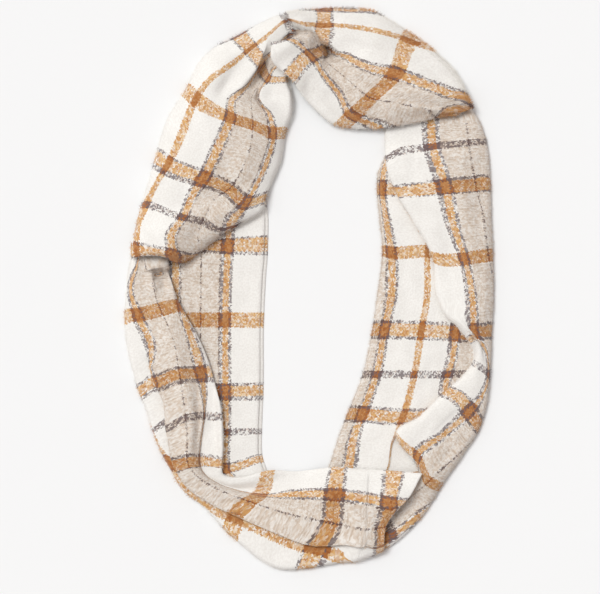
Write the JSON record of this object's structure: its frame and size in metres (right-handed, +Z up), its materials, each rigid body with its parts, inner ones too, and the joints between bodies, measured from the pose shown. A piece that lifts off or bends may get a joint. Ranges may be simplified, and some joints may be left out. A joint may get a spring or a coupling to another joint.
{
  "type": "plaid loop scarf",
  "caption": "Plaid loop scarf of brushed woven cloth, folded along its length and laid flat in an oval with an open centre.",
  "frame": {"origin": "centre of the bounding box in plan, at the underside that rests on the surface", "axes": "+Y towards the top of the laid oval, where the rounded lobe lies; +X towards its right leg; +Z up, away from the surface"},
  "size_m": [0.4316, 0.656, 0.0369],
  "materials": {
    "plaid_cloth": "brushed, matte"
  },
  "bodies": {
    "root": {"left_leg_backing": "plaid_cloth", "left_leg_under": "plaid_cloth", "right_leg_under": "plaid_cloth", "right_leg_over": "plaid_cloth", "left_leg_over": "plaid_cloth", "upper_left_roll": "plaid_cloth", "top_lobe": "plaid_cloth", "hidden_layers": "plaid_cloth", "hidden_layers_corner": "plaid_cloth"}
  },
  "joints": []
}
